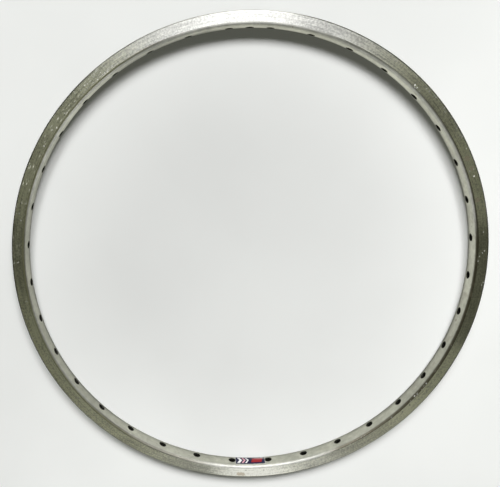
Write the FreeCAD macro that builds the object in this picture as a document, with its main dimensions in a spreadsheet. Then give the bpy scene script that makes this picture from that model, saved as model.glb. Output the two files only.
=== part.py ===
import FreeCAD, Part
import os
from math import pi

import Sketcher

# A narrow aluminium bicycle rim of the 451 mm bead seat, lying flat on its side.
# The axle axis is Z, the origin is the rim's centre, the valve hole points to +Y
# and a label lies across the spoke bed at -Y, between two spoke holes.

doc = FreeCAD.newDocument("bicycle_rim")

# Driving dimensions, in millimetres unless the note says otherwise
SIZES = [
    ("outer_diameter", 464.0, "across the flange tips"),
    ("rim_width", 19.4, "between the two brake tracks"),
    ("bead_seat_diameter", 451.3, "where the tyre beads sit"),
    ("channel_width", 15.0, "between the bead hooks"),
    ("crest_diameter", 435.8, "across the crown of the spoke bed"),
    ("bed_radius", 36.0, "crown of the spoke bed, across its width"),
    ("corner_radius", 3.5, "from brake track to spoke bed, outside"),
    ("wall", 1.7, "side walls and spoke bed"),
    ("roof", 1.3, "wall between tyre channel and chamber"),
    ("hook_height", 1.5, "straight face of the bead hook"),
    ("hook_undercut", 0.7, "depth of the groove behind the hook"),
    ("well_width", 10.4, "floor of the drop centre"),
    ("well_depth", 1.6, "drop centre below the bead seat"),
    ("well_slope", 1.2, "axial run of the drop centre's side"),
    ("spoke_count", 36, "holes in the spoke bed, no unit"),
    ("spoke_hole", 5.8, "diameter in the spoke bed"),
    ("hole_chamfer", 0.35, "broken edge of a spoke hole"),
    ("access_hole", 9.0, "diameter in the roof, for a nipple head"),
    ("valve_hole", 6.6, "diameter through both walls"),
    ("drill_overrun", 1.0, "how far a drill runs past a wall"),
    ("label_length", 31.0, "round the rim"),
    ("label_width", 13.6, "across the spoke bed, measured along the axle"),
    ("label_film", 0.15, "thickness of the label"),
]

sheet = doc.addObject("Spreadsheet::Sheet", "Sizes")
for row, (alias, value, note) in enumerate(SIZES, start=1):
    sheet.set(f"A{row}", alias)
    sheet.set(f"B{row}", str(value))
    sheet.setAlias(f"B{row}", alias)
    sheet.set(f"C{row}", note)
doc.recompute()


class Profile:
    """A sketch on one of its body's origin planes, whose dimensions are formulas over the sheet."""

    START, END, CENTRE = 1, 2, 3
    AXIS_X = -1
    ORIGIN = (-1, 1)

    def __init__(self, body, name, plane, turn="0 deg"):
        self.sketch = body.newObject("Sketcher::SketchObject", name)
        self.sketch.AttachmentSupport = [(origin_feature(body, plane), "")]
        self.sketch.MapMode = "FlatFace"
        self.sketch.setExpression("AttachmentOffset.Rotation.Angle", turn)

    def line(self, start, end):
        """Draw a straight edge and return its number."""
        segment = Part.LineSegment(FreeCAD.Vector(*start, 0), FreeCAD.Vector(*end, 0))
        return self.sketch.addGeometry(segment, False)

    def arc(self, centre, radius, first, last):
        """Draw an arc counter-clockwise between two angles and return its number."""
        circle = Part.Circle(FreeCAD.Vector(*centre, 0), FreeCAD.Vector(0, 0, 1), radius)
        return self.sketch.addGeometry(Part.ArcOfCircle(circle, first, last), False)

    def rule(self, kind, *places):
        """Add a geometric constraint."""
        return self.sketch.addConstraint(Sketcher.Constraint(kind, *places))

    def across(self, edge, point, formula):
        """Set a point's distance from the sketch's vertical axis."""
        self._bind("DistanceX", (*self.ORIGIN, edge, point), formula)

    def up(self, edge, point, formula):
        """Set a point's distance from the sketch's horizontal axis."""
        self._bind("DistanceY", (*self.ORIGIN, edge, point), formula)

    def radius(self, edge, formula):
        """Set an arc's radius."""
        self._bind("Radius", (edge,), formula)

    def _bind(self, kind, places, formula):
        number = self.rule(kind, *places, value_of(self.sketch, formula))
        self.sketch.setExpression(f"Constraints[{number}]", formula)

    def outline(self, corners):
        """Draw a closed outline whose corners are pairs of formulas."""
        points = [tuple(value_of(self.sketch, formula) for formula in corner) for corner in corners]
        edges = [self.line(a, b) for a, b in zip(points, points[1:] + points[:1])]
        for edge, following in zip(edges, edges[1:] + edges[:1]):
            self.rule("Coincident", edge, self.END, following, self.START)
        for edge, (across, up) in zip(edges, corners):
            self.across(edge, self.START, across)
            self.up(edge, self.START, up)


def origin_feature(body, role):
    """Return the plane or axis of a body's origin that has this role."""
    return next(feature for feature in body.Origin.OriginFeatures if feature.Role == role)


def value_of(owner, formula):
    """Work out a formula over the sheet, as a plain number."""
    result = owner.evalExpression(formula)
    return float(getattr(result, "Value", result))


def turn_profile(body, kind, name, profile, angle="360 deg", midplane=False):
    """Turn a profile about its own vertical axis: a Revolution adds, a Groove cuts."""
    feature = body.newObject(f"PartDesign::{kind}", name)
    feature.Profile = profile.sketch
    feature.ReferenceAxis = (profile.sketch, ["V_Axis"])
    feature.Midplane = midplane
    feature.setExpression("Angle", angle)
    body.Tip = feature
    doc.recompute()
    return feature


# Formulas that several profiles share
HALF_WIDTH = "Sizes.rim_width / 2"
CREST = "Sizes.crest_diameter / 2"
BED_CENTRE = "Sizes.crest_diameter / 2 + Sizes.bed_radius"
SEAT = "Sizes.bead_seat_diameter / 2"
FLOOR = "Sizes.bead_seat_diameter / 2 - Sizes.well_depth"
LIP_RADIUS = "(Sizes.rim_width - Sizes.channel_width) / 4"
LIP_CENTRE = f"Sizes.outer_diameter / 2 - {LIP_RADIUS}"
HOOK_END = f"{LIP_CENTRE} - Sizes.hook_height"
WALL_FACE = "Sizes.channel_width / 2 + Sizes.hook_undercut"


def rim_section(body):
    """Draw the upper half of the rim's section: spoke bed, brake track, hooked flange, well and chamber."""
    half = Profile(body, "rim_half_section", "XZ_Plane")
    size = {name: value_of(half.sketch, f"Sizes.{name}") for name, _, _ in SIZES}
    start, end, centre = half.START, half.END, half.CENTRE

    # Rough positions: the constraints below give every edge its exact place
    width = size["rim_width"] / 2
    crest = size["crest_diameter"] / 2
    bed_centre = (crest + size["bed_radius"], 0.0)
    corner = (crest + size["corner_radius"] + 1.0, width - size["corner_radius"])
    lip = value_of(half.sketch, LIP_RADIUS)
    lip_centre = (value_of(half.sketch, LIP_CENTRE), width - lip)
    hook = (value_of(half.sketch, HOOK_END), size["channel_width"] / 2)
    groove = (hook[0] - size["hook_undercut"], value_of(half.sketch, WALL_FACE))
    seat = value_of(half.sketch, SEAT)
    well = (value_of(half.sketch, FLOOR), size["well_width"] / 2)
    well_edge = well[1] + size["well_slope"]
    inner = width - size["wall"]
    ceiling = (well[0] - size["roof"], seat - size["roof"])
    leaning = pi - 0.27

    bed = half.arc(bed_centre, size["bed_radius"], leaning, pi)
    shoulder = half.arc(corner, size["corner_radius"], pi / 2, leaning)
    track = half.line((corner[0], width), (lip_centre[0], width))
    tip = half.arc(lip_centre, lip, -pi / 2, pi / 2)
    hook_face = half.line((lip_centre[0], hook[1]), hook)
    undercut = half.line(hook, groove)
    flange = half.line(groove, (seat, groove[1]))
    seat_face = half.line((seat, groove[1]), (seat, well_edge))
    well_side = half.line((seat, well_edge), well)
    well_floor = half.line(well, (well[0], 0.0))
    roof_cut = half.line((well[0], 0.0), (ceiling[0], 0.0))
    floor_back = half.line((ceiling[0], 0.0), (ceiling[0], well[1]))
    side_back = half.line((ceiling[0], well[1]), (ceiling[1], well_edge))
    seat_back = half.line((ceiling[1], well_edge), (ceiling[1], inner))
    side_inner = half.line((ceiling[1], inner), (corner[0], inner))
    shoulder_inner = half.arc(corner, size["corner_radius"] - size["wall"], pi / 2, leaning)
    bed_inner = half.arc(bed_centre, size["bed_radius"] - size["wall"], leaning, pi)
    bed_cut = half.line((crest + size["wall"], 0.0), (crest, 0.0))

    # Round stretches run smoothly into their neighbours, the rest meets at corners
    half.rule("Tangent", bed, start, shoulder, end)
    half.rule("Tangent", shoulder, start, track, start)
    half.rule("Tangent", track, end, tip, end)
    half.rule("Tangent", tip, start, hook_face, start)
    half.rule("Tangent", side_inner, end, shoulder_inner, start)
    half.rule("Tangent", shoulder_inner, end, bed_inner, start)
    chain = [hook_face, undercut, flange, seat_face, well_side, well_floor, roof_cut, floor_back, side_back,
             seat_back, side_inner]
    for edge, following in zip(chain, chain[1:]):
        half.rule("Coincident", edge, end, following, start)
    half.rule("Coincident", bed_inner, end, bed_cut, start)
    half.rule("Coincident", bed_cut, end, bed, end)
    half.rule("Coincident", shoulder_inner, centre, shoulder, centre)
    half.rule("Coincident", bed_inner, centre, bed, centre)
    for edge in (track, hook_face, flange, roof_cut, side_inner, bed_cut):
        half.rule("Horizontal", edge)
    for edge in (seat_face, well_floor, floor_back, seat_back):
        half.rule("Vertical", edge)
    half.rule("PointOnObject", bed, centre, half.AXIS_X)
    half.rule("PointOnObject", roof_cut, start, half.AXIS_X)
    half.rule("PointOnObject", bed_cut, start, half.AXIS_X)

    # Dimensions of the outside, then of the chamber
    half.radius(bed, "Sizes.bed_radius")
    half.across(bed_cut, end, CREST)
    half.radius(shoulder, "Sizes.corner_radius")
    half.up(track, start, HALF_WIDTH)
    half.across(tip, centre, LIP_CENTRE)
    half.up(hook_face, start, "Sizes.channel_width / 2")
    half.across(hook_face, end, HOOK_END)
    half.across(undercut, end, f"{HOOK_END} - Sizes.hook_undercut")
    half.up(undercut, end, WALL_FACE)
    half.across(seat_face, start, SEAT)
    half.up(seat_face, end, "Sizes.well_width / 2 + Sizes.well_slope")
    half.across(well_floor, start, FLOOR)
    half.up(well_floor, start, "Sizes.well_width / 2")
    half.across(floor_back, start, f"{FLOOR} - Sizes.roof")
    half.up(floor_back, end, "Sizes.well_width / 2")
    half.across(side_back, end, f"{SEAT} - Sizes.roof")
    half.up(side_back, end, "Sizes.well_width / 2 + Sizes.well_slope")
    half.radius(shoulder_inner, "Sizes.corner_radius - Sizes.wall")
    return half


def make_rim():
    """Build the rim: a turned half section mirrored, stepped spoke holes round it and the valve hole."""
    body = doc.addObject("PartDesign::Body", "rim")
    ring = turn_profile(body, "Revolution", "upper_half", rim_section(body))

    whole = body.newObject("PartDesign::Mirrored", "both_halves")
    whole.Originals = [ring]
    whole.MirrorPlane = (origin_feature(body, "XY_Plane"), [""])
    body.Tip = whole
    doc.recompute()

    # One stepped drill: it breaks the edge, opens the spoke bed and widens in the roof for a nipple's head
    step = f"({CREST} + {FLOOR}) / 2"
    below = f"{CREST} - Sizes.drill_overrun"
    above = f"{SEAT} + Sizes.drill_overrun"
    flare = "Sizes.spoke_hole / 2 + Sizes.hole_chamfer + Sizes.drill_overrun"
    drill = Profile(body, "spoke_drill", "XY_Plane", "-180 deg / Sizes.spoke_count")
    drill.outline([
        ("0", below),
        (flare, below),
        ("Sizes.spoke_hole / 2", f"{CREST} + Sizes.hole_chamfer"),
        ("Sizes.spoke_hole / 2", step),
        ("Sizes.access_hole / 2", step),
        ("Sizes.access_hole / 2", above),
        ("0", above),
    ])
    spoke_hole = turn_profile(body, "Groove", "spoke_hole", drill)
    spoke_holes = body.newObject("PartDesign::PolarPattern", "spoke_holes")
    spoke_holes.Originals = [spoke_hole]
    spoke_holes.Axis = (origin_feature(body, "Z_Axis"), [""])
    spoke_holes.Angle = 360
    spoke_holes.setExpression("Occurrences", "Sizes.spoke_count")
    body.Tip = spoke_holes
    doc.recompute()

    # The valve hole lies midway between two spoke holes
    valve = Profile(body, "valve_drill", "XY_Plane")
    valve.outline([
        ("0", below),
        ("Sizes.valve_hole / 2", below),
        ("Sizes.valve_hole / 2", above),
        ("0", above),
    ])
    turn_profile(body, "Groove", "valve_hole", valve)
    return body


def make_label():
    """Build the label: a film that follows the crowned spoke bed between two spoke holes."""
    body = doc.addObject("PartDesign::Body", "label")
    film = Profile(body, "label_section", "YZ_Plane")
    start, end, centre = film.START, film.END, film.CENTRE
    radius = value_of(film.sketch, "Sizes.bed_radius")
    thickness = value_of(film.sketch, "Sizes.label_film")
    half = value_of(film.sketch, "Sizes.label_width / 2")
    middle = (-value_of(film.sketch, BED_CENTRE), 0.0)

    back = film.arc(middle, radius, -half / radius, half / radius)
    front = film.arc(middle, radius + thickness, -half / radius, half / radius)
    near = middle[0] + radius
    lower = film.line((near, -half), (near + thickness, -half))
    upper = film.line((near, half), (near + thickness, half))
    film.rule("Coincident", back, start, lower, start)
    film.rule("Coincident", front, start, lower, end)
    film.rule("Coincident", back, end, upper, start)
    film.rule("Coincident", front, end, upper, end)
    film.rule("Coincident", back, centre, front, centre)
    film.rule("Horizontal", lower)
    film.rule("Horizontal", upper)
    film.rule("PointOnObject", back, centre, film.AXIS_X)
    film.across(back, centre, f"-({BED_CENTRE})")
    film.radius(back, "Sizes.bed_radius")
    film.radius(front, "Sizes.bed_radius + Sizes.label_film")
    film.up(back, start, "-Sizes.label_width / 2")
    film.up(back, end, "Sizes.label_width / 2")
    turn_profile(body, "Revolution", "label_film", film, f"Sizes.label_length / ({CREST}) * 1 rad", True)
    return body


def check(bodies):
    """Stop if an object failed or a sub-part is not one sound solid."""
    doc.recompute()
    for item in doc.Objects:
        if {"Invalid", "Error"} & set(item.State):
            raise RuntimeError(f"{item.Label} did not build: {item.State}")
        if item.isDerivedFrom("Sketcher::SketchObject") and not item.FullyConstrained:
            raise RuntimeError(f"{item.Label} is not fully constrained")
    for body in bodies:
        if body.Shape.isNull() or not body.Shape.isValid() or len(body.Shape.Solids) != 1:
            raise RuntimeError(f"{body.Label} is not one sound solid")
    rim = doc.getObject("rim")
    for cut, before in (("spoke_hole", "both_halves"), ("spoke_holes", "spoke_hole"), ("valve_hole", "spoke_holes")):
        removed = doc.getObject(before).Shape.Volume - doc.getObject(cut).Shape.Volume
        if removed <= 0:
            raise RuntimeError(f"{cut} cut nothing")
        print(f"{cut} removes {removed:.1f} mm3")
    print(f"rim volume {rim.Shape.Volume:.0f} mm3, box {rim.Shape.BoundBox}")


parts = [make_rim(), make_label()]
check(parts)
os.makedirs("parts", exist_ok=True)
for part in parts:
    part.Shape.exportStep(f"parts/{part.Label}.step")
    print(f"{part.Label}: {part.Shape.Volume:.1f} mm3")
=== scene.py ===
"""Looks of a used aluminium bicycle rim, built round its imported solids, in metres."""
import logging
import math
from dataclasses import dataclass
from enum import Enum
from functools import reduce
from typing import Callable, Sequence

import bmesh
import bpy
import numpy as np
from bpy.types import ID, GeometryNodeTree, Material, Mesh, Node, NodeTree, Object
from bpy.types import NodeSocket as Socket
from mathutils import Matrix, Vector


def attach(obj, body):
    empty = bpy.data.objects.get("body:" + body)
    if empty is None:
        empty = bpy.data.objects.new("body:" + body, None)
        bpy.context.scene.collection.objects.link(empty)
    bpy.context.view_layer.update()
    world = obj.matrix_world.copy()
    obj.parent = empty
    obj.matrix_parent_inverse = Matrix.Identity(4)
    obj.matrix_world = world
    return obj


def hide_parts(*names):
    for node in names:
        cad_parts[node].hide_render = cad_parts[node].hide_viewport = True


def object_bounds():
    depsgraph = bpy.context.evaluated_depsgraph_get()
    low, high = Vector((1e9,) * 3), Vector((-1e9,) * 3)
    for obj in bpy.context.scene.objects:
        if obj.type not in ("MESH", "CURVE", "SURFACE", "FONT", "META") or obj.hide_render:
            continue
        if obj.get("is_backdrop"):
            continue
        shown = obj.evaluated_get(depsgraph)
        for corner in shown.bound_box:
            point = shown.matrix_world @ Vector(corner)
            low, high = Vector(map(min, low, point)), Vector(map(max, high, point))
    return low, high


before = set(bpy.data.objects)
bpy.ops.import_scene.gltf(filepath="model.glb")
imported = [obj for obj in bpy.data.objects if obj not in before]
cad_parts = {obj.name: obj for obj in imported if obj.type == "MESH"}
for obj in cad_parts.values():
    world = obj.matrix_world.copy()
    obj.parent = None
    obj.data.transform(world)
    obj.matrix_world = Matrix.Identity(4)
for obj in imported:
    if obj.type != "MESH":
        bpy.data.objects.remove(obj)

LOG = logging.getLogger("rim")
MM = 0.001
TURN = 2.0 * math.pi
SLACK = 1e-7
QUARTER_TURN = 0.25
Point = tuple[float, float]
Place = tuple[float, float, float]
Corner = tuple[int, Point]
Depth = Callable[[float, float], float]


class Zone(Enum):
    """Finish of a stretch of the rim's skin."""

    TRACK = 0
    BED = 1
    CHANNEL = 2
    CHAMBER = 3


class Wall(Enum):
    """Which of the rim's two walls a hole goes through."""

    BED = "bed"
    ROOF = "roof"


Stretch = tuple[list[Point], Zone]


# Section of the rim


def arc(centre: Point, radius: float, first: float, last: float, steps: int) -> list[Point]:
    """Sample an arc of the section, both ends included, between two angles in radians."""
    angles = np.linspace(first, last, steps + 1)
    return [(centre[0] + radius * math.cos(a), centre[1] + radius * math.sin(a)) for a in angles]


def circle(count: int, radius: float) -> list[Point]:
    """Spread places evenly round a hole's axis."""
    turns = [TURN * k / count for k in range(count)]
    return [(radius * math.cos(turn), radius * math.sin(turn)) for turn in turns]


def between(far: Sequence[Point], near: Sequence[Point], share: float) -> list[Point]:
    """Return places between two rings."""
    return [(a[0] + (b[0] - a[0]) * share, a[1] + (b[1] - a[1]) * share) for a, b in zip(far, near)]


def filleted(corners: Sequence[Point], radius: float, steps: int) -> list[Point]:
    """Round the inner corners of an open run.

    Args:
        corners: The run's corners.
        radius: Radius of every fillet.
        steps: Segments in each fillet.

    Returns:
        The run with an arc at each corner but the two ends.
    """
    run = [tuple(corners[0])]
    for before, here, after in zip(corners, corners[1:], corners[2:]):
        a = (Vector(before) - Vector(here)).normalized()
        b = (Vector(after) - Vector(here)).normalized()
        half = a.angle(b) / 2
        centre = Vector(here) + (a + b).normalized() * (radius / math.sin(half))
        start = Vector(here) + a * (radius / math.tan(half)) - centre
        end = Vector(here) + b * (radius / math.tan(half)) - centre
        turn = math.atan2(start.x * end.y - start.y * end.x, start.dot(end))
        first = math.atan2(start.y, start.x)
        run += arc((centre.x, centre.y), radius, first, first + turn, steps)
    return run + [tuple(corners[-1])]


@dataclass(frozen=True)
class RimSection:
    """Section of the hoop: the upper half, as the solid has it, with its small corners broken."""

    outer_radius: float = 232.0 * MM
    half_width: float = 9.7 * MM
    seat_radius: float = 225.65 * MM
    channel_half: float = 7.5 * MM
    crest_radius: float = 217.9 * MM
    bed_radius: float = 36.0 * MM
    corner_radius: float = 3.5 * MM
    wall: float = 1.7 * MM
    roof: float = 1.3 * MM
    hook_height: float = 1.5 * MM
    hook_undercut: float = 0.7 * MM
    well_half: float = 5.2 * MM
    well_depth: float = 1.6 * MM
    well_slope: float = 1.2 * MM
    edge_break: float = 0.28 * MM
    patch_half: float = 5.0 * MM
    patch_rows: int = 4
    curve_steps: int = 9
    track_shares: tuple = (0, 0.015, 0.35, 0.7, 0.985, 1)

    @property
    def floor_radius(self) -> float:
        """Radius of the drop centre's floor."""
        return self.seat_radius - self.well_depth

    @property
    def middle_radius(self) -> float:
        """A radius inside the chamber, between the two walls."""
        return (self.crest_radius + self.floor_radius) / 2

    @property
    def shoulder_centre(self) -> Point:
        """Centre of the shoulder, which touches both the spoke bed and the brake track."""
        height = self.half_width - self.corner_radius
        reach = math.sqrt((self.bed_radius - self.corner_radius) ** 2 - height**2)
        return (self.crest_radius + self.bed_radius - reach, height)

    def _shoulder(self, radius: float, steps: int) -> list[Point]:
        """Sample the shoulder or its back, from the brake track's side to the spoke bed.

        Args:
            radius: Radius of the arc.
            steps: Number of segments.

        Returns:
            The points, both ends included.
        """
        centre = self.shoulder_centre
        last = math.atan2(centre[1], centre[0] - self.crest_radius - self.bed_radius)
        return arc(centre, radius, math.pi / 2, last, steps)

    def bed_at(self, height: float, inset: float = 0.0) -> float:
        """Radius of the crowned spoke bed at a height, at a depth below the outer skin."""
        reach = math.sqrt((self.bed_radius - inset) ** 2 - height**2)
        return self.crest_radius + self.bed_radius - reach

    def _patch_heights(self) -> list[float]:
        """Heights of the rows that a hole's patch joins on to."""
        return [self.patch_half * i / self.patch_rows for i in range(self.patch_rows + 1)]

    def outside(self) -> list[Stretch]:
        """Run over the skin from the drop centre round the flange and the track to the spoke bed.

        Returns:
            The stretches of the upper half, in order.
        """
        lip = (self.half_width - self.channel_half) / 2
        lip_centre = self.outer_radius - lip
        hook_end = lip_centre - self.hook_height
        face = self.channel_half + self.hook_undercut
        floor = [(self.floor_radius, z) for z in self._patch_heights()]
        corners = [
            floor[-1],
            (self.floor_radius, self.well_half),
            (self.seat_radius, self.well_half + self.well_slope),
            (self.seat_radius, face),
            (hook_end - self.hook_undercut, face),
            (hook_end, self.channel_half),
            (lip_centre, self.channel_half),
        ]
        channel = filleted(corners, self.edge_break, 2)
        tip = arc((lip_centre, self.half_width - lip), lip, -math.pi / 2, math.pi / 2, self.curve_steps)
        length = lip_centre - self.shoulder_centre[0]
        track = [(lip_centre - length * share, self.half_width) for share in self.track_shares]
        shoulder = self._shoulder(self.corner_radius, self.curve_steps)
        tangent = shoulder[-1][1]
        steps = [tangent, (tangent + self.patch_half) / 2, *reversed(self._patch_heights())]
        bed = [(self.bed_at(z), z) for z in steps]
        return [(floor, Zone.CHANNEL), (channel, Zone.CHANNEL), (tip, Zone.BED), (track, Zone.TRACK),
                (shoulder, Zone.BED), (bed, Zone.BED)]

    def inside(self) -> list[Stretch]:
        """Run over the chamber's wall from the roof round the side to the back of the spoke bed.

        Returns:
            The stretches of the upper half, in order.
        """
        under = self.floor_radius - self.roof
        seat_back = self.seat_radius - self.roof
        side = self.half_width - self.wall
        roof = [(under, z) for z in self._patch_heights()]
        upper = [
            roof[-1],
            (under, self.well_half),
            (seat_back, self.well_half + self.well_slope),
            (seat_back, side),
            (self.shoulder_centre[0], side),
        ]
        corner = self._shoulder(self.corner_radius - self.wall, 4)
        steps = [corner[-1][1], *reversed(self._patch_heights())]
        bed = [(self.bed_at(z, self.wall), z) for z in steps]
        return [(run, Zone.CHAMBER) for run in (roof, upper, corner, bed)]


class Sheet:
    """A closed run of the whole section: its rows, the finish between them and the girth along it."""

    def __init__(self, half: Sequence[Stretch], start: Point, girth: float, scale: float) -> None:
        """Mirror an upper half and open the run where its strip coordinates begin.

        Args:
            half: Stretches of the upper half, from the middle plane to the middle plane.
            start: Place of the row at which the run begins.
            girth: Strip coordinate of the first row.
            scale: Strip length for each metre of girth.
        """
        upper = [half[0][0][0]]
        zones: list[Zone] = []
        for points, zone in half:
            upper += points[1:]
            zones += [zone] * (len(points) - 1)
        rows = upper + [(r, -z) for r, z in reversed(upper[1:-1])]
        zones = zones + zones[::-1]
        first = min(range(len(rows)), key=lambda i: math.dist(rows[i], start))
        self.rows: list[Point] = rows[first:] + rows[:first]
        self.zones: list[Zone] = zones[first:] + zones[:first]
        loop = self.rows + self.rows[:1]
        lengths = [math.dist(a, b) * scale for a, b in zip(loop, loop[1:])]
        self.girth: list[float] = [girth + sum(lengths[:i]) for i in range(len(loop))]

    def patch(self, section: RimSection, wall: Wall) -> list[int]:
        """Find the rows that a hole's patch spans.

        Args:
            section: The rim's section.
            wall: The wall with the hole.

        Returns:
            Row numbers by rising height.
        """
        inner = wall is Wall.BED
        near = [i for i, (_, z) in enumerate(self.rows) if abs(z) <= section.patch_half + SLACK]
        found = [i for i in near if (self.rows[i][0] < section.middle_radius) == inner]
        return sorted(found, key=lambda i: self.rows[i][1])


# Skin of the hoop


class SectorMesh:
    """Collects the points, faces, finishes and strip coordinates of one sector."""

    def __init__(self) -> None:
        """Start with nothing."""
        self.points: list[Place] = []
        self.faces: list[list[int]] = []
        self.strips: list[list[Point]] = []
        self.zones: list[int] = []

    def point(self, place: Place) -> int:
        """Add a point and return its number."""
        self.points.append(place)
        return len(self.points) - 1

    def face(self, corners: Sequence[Corner], zone: Zone) -> None:
        """Add a face.

        Args:
            corners: Point numbers with their strip coordinates.
            zone: The face's finish.
        """
        self.faces.append([number for number, _ in corners])
        self.strips.append([strip for _, strip in corners])
        self.zones.append(zone.value)

    def join(self, last: Sequence[Corner], rings: Sequence[tuple[list[Corner], Zone]]) -> Sequence[Corner]:
        """Join closed rings of equal length with quads, in order.

        Args:
            last: The ring to start from.
            rings: Each following ring, with the finish of the quads that lead to it.

        Returns:
            The ring at the end.
        """
        for ring, zone in rings:
            for k in range(len(ring)):
                after = (k + 1) % len(ring)
                self.face((last[k], last[after], ring[after], ring[k]), zone)
            last = ring
        return last

    def as_object(self, name: str) -> Object:
        """Make a linked mesh object with the attribute zone and the UV map Strip.

        Args:
            name: Name of the object.

        Returns:
            The object.
        """
        mesh = bpy.data.meshes.new(name)
        mesh.from_pydata(self.points, [], self.faces)
        mesh.attributes.new("zone", "INT", "FACE").data.foreach_set("value", self.zones)
        flat = np.array([uv for face in self.strips for uv in face], float).ravel()
        mesh.uv_layers.new(name="Strip").uv.foreach_set("vector", flat)
        mesh.shade_smooth()
        return linked(name, mesh)


def linked(name: str, data: ID) -> Object:
    """Make an object and link it to the scene.

    Args:
        name: Name of the object.
        data: Its mesh, lamp or camera.

    Returns:
        The object.
    """
    made = bpy.data.objects.new(name, data)
    bpy.context.collection.objects.link(made)
    return made


def made_of(name: str, work: bmesh.types.BMesh, material: Material) -> Object:
    """Turn a bmesh into an object of one material, and free it.

    Args:
        name: Name of the object.
        work: The bmesh.
        material: The material.

    Returns:
        The linked object.
    """
    mesh = bpy.data.meshes.new(name)
    work.to_mesh(mesh)
    work.free()
    mesh.materials.append(material)
    return linked(name, mesh)


@dataclass(frozen=True)
class Drill:
    """A hole through the rim: its radius in each wall and the broken edge on the outside of the spoke bed."""

    angle: float
    bed_radius: float
    roof_radius: float
    edge: float


@dataclass
class Patch:
    """One wall's patch round a hole, which lays rings of points about the hole's axis."""

    hoop: "Hoop"
    mesh: SectorMesh
    columns: Sequence[float]
    drill: Drill
    wall: Wall

    def border(self, sheet: Sheet, grid: dict) -> list[Corner]:
        """List the grid corners round the patch, starting at its far side and turning towards the top.

        Args:
            sheet: The skin or the chamber's wall.
            grid: The sheet's corners.

        Returns:
            The corners, as many as the patch has edges.
        """
        rows = sheet.patch(self.hoop.section, self.wall)
        reach = self.hoop.patch_angle + SLACK
        near = [j for j, a in enumerate(self.columns) if abs(a - self.drill.angle) < reach]
        middle = len(rows) // 2
        walk = [(i, near[-1]) for i in rows[middle:]]
        walk += [(rows[-1], j) for j in near[-2::-1]]
        walk += [(i, near[0]) for i in rows[-2::-1]]
        walk += [(rows[0], j) for j in near[1:]]
        walk += [(i, near[-1]) for i in rows[1:middle]]
        return [grid[key] for key in walk]

    def spots(self, ring: Sequence[Corner]) -> list[Point]:
        """Return a ring's places relative to the hole's axis.

        Args:
            ring: The ring's corners.

        Returns:
            The places as (along the rim, height).
        """
        cos, sin = math.cos(self.drill.angle), math.sin(self.drill.angle)
        places = [self.mesh.points[number] for number, _ in ring]
        return [(y * cos - x * sin, z) for x, y, z in places]

    def _strips(self, sheet: Sheet, spots: Sequence[Point], shrink: float) -> list[Point]:
        """Return the strip coordinates of places about the axis.

        Args:
            sheet: Sheet whose strip they lie on.
            spots: Places as (along the rim, height), relative to the axis.
            shrink: How far the coordinates draw in, for rings down a hole's wall.

        Returns:
            The coordinates.
        """
        section = self.hoop.section
        rows = sheet.patch(section, self.wall)
        heights = [sheet.rows[i][1] for i in rows]
        girths = [sheet.girth[i] for i in rows]
        radius = section.crest_radius if self.wall is Wall.BED else section.floor_radius
        found = []
        for y, z in spots:
            size = math.hypot(y, z)
            share = (size - shrink) / size
            across = float(np.interp(z * share, heights, girths))
            found.append(((self.drill.angle + y * share / radius) / TURN, across))
        return found

    def ring(self, spots: Sequence[Point], depth: Depth, shrink: float = 0.0,
             sheet: Sheet | None = None) -> list[Corner]:
        """Add a closed ring of points about the hole's axis.

        Args:
            spots: Places as (along the rim, height), relative to the axis.
            depth: Gives the distance along the axis for such a place.
            shrink: How far the strip coordinates draw in.
            sheet: Sheet whose strip coordinates the ring takes, the skin if none is given.

        Returns:
            The ring's corners.
        """
        cos, sin = math.cos(self.drill.angle), math.sin(self.drill.angle)
        numbers = []
        for y, z in spots:
            x = depth(y, z)
            numbers.append(self.mesh.point((x * cos - y * sin, x * sin + y * cos, z)))
        return list(zip(numbers, self._strips(sheet or self.hoop.outer, spots, shrink)))

    def open_chamber(self, last: Sequence[Corner], spots: Sequence[Point], depth: Depth, grid: dict) -> None:
        """Join a hole's inner end to the chamber's wall.

        Args:
            last: Ring at the hole's inner end.
            spots: Its places about the axis.
            depth: Gives the wall's distance along the axis.
            grid: The chamber wall's corners.
        """
        sheet = self.hoop.inner
        far = self.border(sheet, grid)
        inside = self.ring(between(self.spots(far), spots, self.hoop.ring_share), depth, 0.0, sheet)
        numbers = [number for number, _ in last]
        mouth = list(zip(numbers, self._strips(sheet, spots, 0.0)))
        self.mesh.join(mouth, [(inside, Zone.CHAMBER), (far, Zone.CHAMBER)])


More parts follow.
